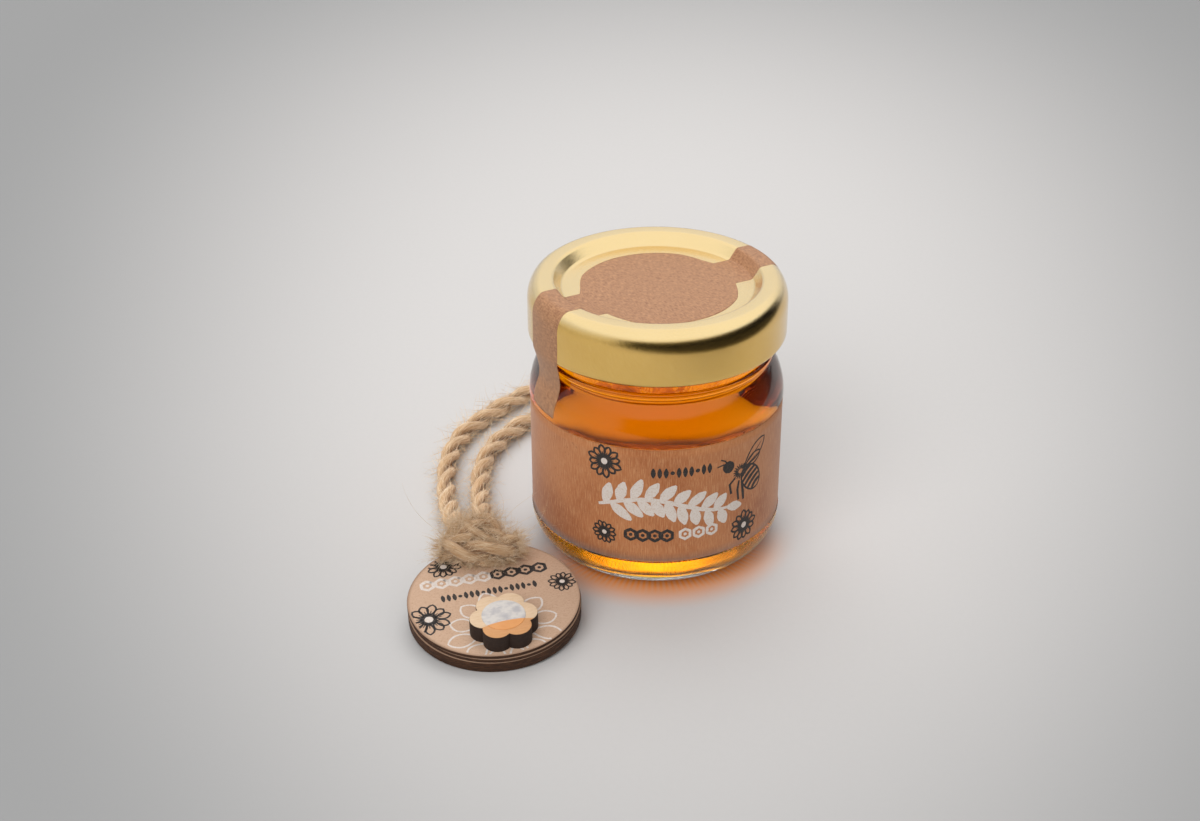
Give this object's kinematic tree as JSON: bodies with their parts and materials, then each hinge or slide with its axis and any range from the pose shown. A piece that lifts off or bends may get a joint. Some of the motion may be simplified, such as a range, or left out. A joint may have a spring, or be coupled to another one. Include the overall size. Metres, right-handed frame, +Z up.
{
  "type": "honey jar",
  "caption": "Small shut glass jar of amber honey with a gold twist-off cap, kraft paper label and seal, and a round wooden hang tag on a loop of jute cord.",
  "frame": {"origin": "centre of the jar's foot, on the surface that the jar stands on and the tag lies on", "axes": "+Z up along the jar's axis, -Y towards the front of the label, +X to the right of a viewer facing the label"},
  "size_m": [0.0658, 0.1105, 0.0525],
  "materials": {
    "clear_glass": "gloss",
    "honey": "gloss",
    "gold_tinplate": "satin",
    "kraft_paper": "matte",
    "kraft_board": "matte",
    "pale_wood": "matte",
    "sticker_film": "satin",
    "jute": "matte"
  },
  "bodies": {
    "root": {"jar_glass": "clear_glass", "honey": "honey", "lid": "gold_tinplate", "body_label": "kraft_paper", "lid_seal": "kraft_paper", "tag_base": "kraft_board", "tag_middle": "kraft_board", "tag_face": "kraft_board", "tag_flower": "pale_wood", "tag_sticker": "sticker_film", "cord_loop": "jute", "cord_knot": "jute"}
  },
  "joints": []
}
